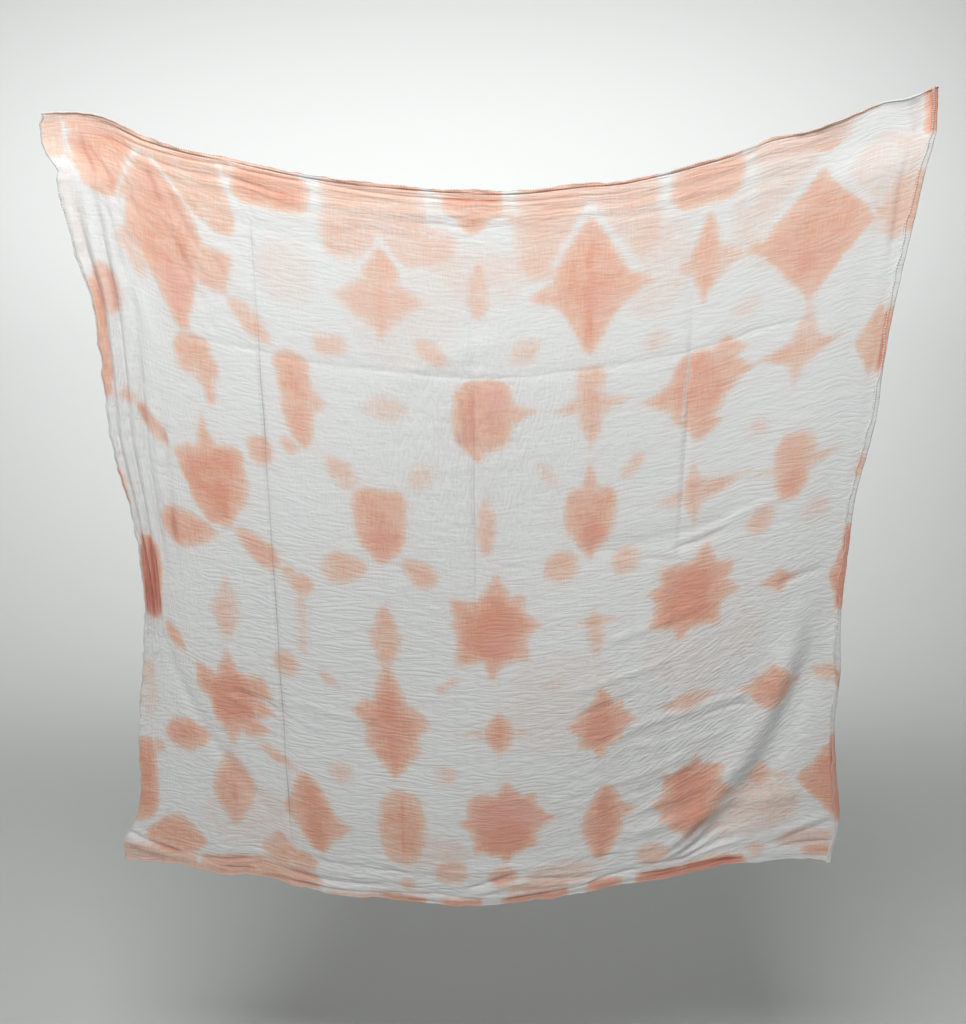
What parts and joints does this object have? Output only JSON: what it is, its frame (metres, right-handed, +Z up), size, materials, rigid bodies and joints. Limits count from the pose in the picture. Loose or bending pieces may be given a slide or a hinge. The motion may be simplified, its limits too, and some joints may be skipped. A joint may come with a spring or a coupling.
{
  "type": "hanging shibori dyed cloth",
  "caption": "Square of white cotton gauze, fold-dyed in peach and coral, hung by its top corners so that the top edge sags and the sides draw in.",
  "frame": {"origin": "middle of the cloth's top edge, on the flat plane that the cloth hangs against", "axes": "+Z up, +X to the right seen from the front, +Y backwards out of the cloth's back, so the dyed front faces -Y"},
  "size_m": [1.0947, 0.0162, 1.1629],
  "materials": {
    "dyed_gauze": "matte crinkled cotton gauze, peach and coral fold dye on white"
  },
  "bodies": {
    "root": {"cloth": "dyed_gauze"}
  },
  "joints": []
}
